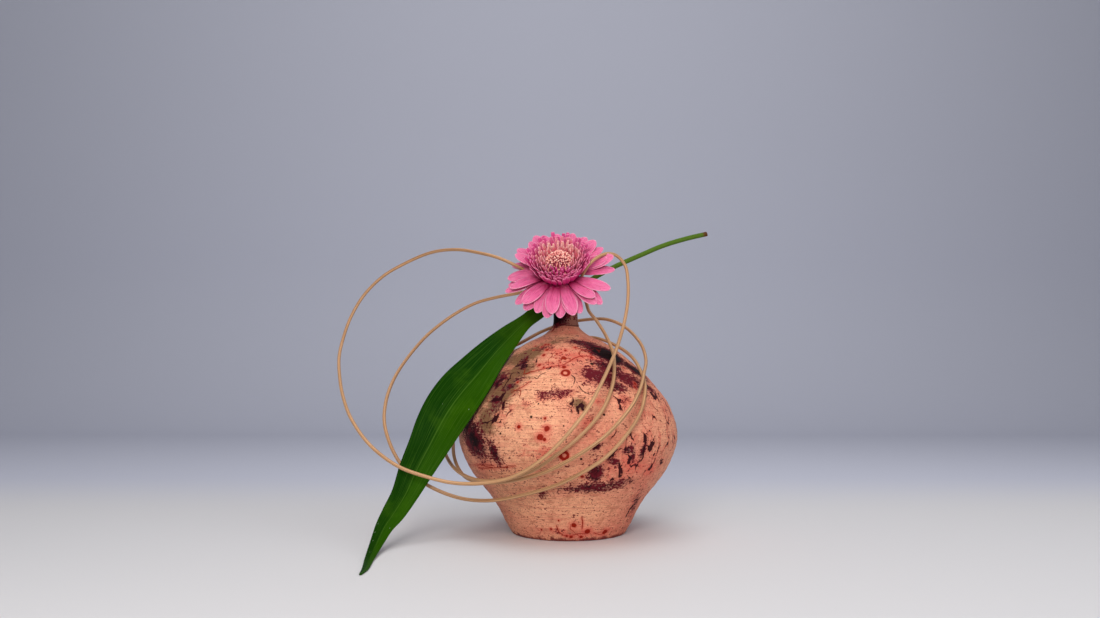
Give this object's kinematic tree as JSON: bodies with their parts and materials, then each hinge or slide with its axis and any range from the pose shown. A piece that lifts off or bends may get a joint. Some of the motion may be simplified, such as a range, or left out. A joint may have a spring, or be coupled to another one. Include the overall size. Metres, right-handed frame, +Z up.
{
  "type": "ikebana arrangement",
  "caption": "Ikebana in a bottle vase: a gerbera over the mouth, an arching sword-shaped leaf beside it, and long canes bent into open loops round the vase.",
  "frame": {"origin": "centre of the vase's flat base, on the surface that it stands on", "axes": "+Z up along the vase, -Y towards the viewer of the bloom's open side, +X to that viewer's right"},
  "size_m": [0.367, 0.2848, 0.2894],
  "materials": {
    "clay": "satin fired clay, salmon and cream with smoky and oxblood firing marks",
    "water": "clear water",
    "leaf_green": "waxy dark green leaf with fine lengthwise veins",
    "stem_green": "soft green stem and bracts",
    "petal_pink": "matt pink petals, magenta at the root and pale at the rim",
    "floret_pink": "matt mauve-pink florets with pale tips",
    "disc_peach": "matt peach florets",
    "cane": "dry tan cane with fine lengthwise grain"
  },
  "bodies": {
    "root": {"vase": "clay", "water": "water", "leaf": "leaf_green", "gerbera_stem": "stem_green", "gerbera_rays": "petal_pink", "gerbera_inner_florets": "floret_pink", "gerbera_disc": "disc_peach", "cane_hoop": "cane", "cane_spiral": "cane"}
  },
  "joints": []
}
